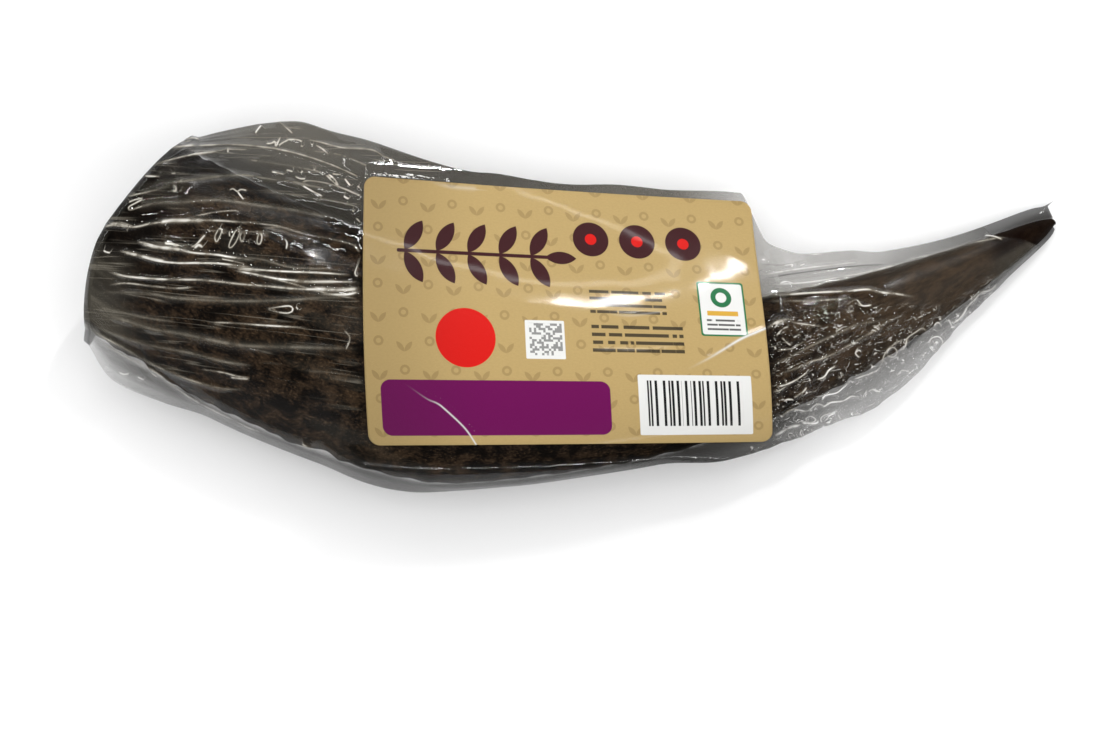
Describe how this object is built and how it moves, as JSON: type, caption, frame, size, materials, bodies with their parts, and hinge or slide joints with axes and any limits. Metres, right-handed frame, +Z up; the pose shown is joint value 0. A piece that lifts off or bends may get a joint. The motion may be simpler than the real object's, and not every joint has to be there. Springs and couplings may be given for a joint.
{
  "type": "goat horn in a clear film sleeve",
  "caption": "Dark ridged goat horn, curved, with an open hollow base and a blunt tip, shrink-wrapped in a clear film sleeve under a bent kraft card label.",
  "frame": {"origin": "on the surface that the object rests on, under the middle of its whole outline", "axes": "+X along the horn's length, from its cut base to its tip; +Y towards the inside of the horn's curve; +Z up, out of the label's printed side"},
  "size_m": [0.2694, 0.1021, 0.0387],
  "materials": {
    "horn": "matte",
    "clear_film": "gloss",
    "card": "satin"
  },
  "bodies": {
    "root": {"horn": "horn", "film_sleeve": "clear_film", "label": "card"}
  },
  "joints": []
}
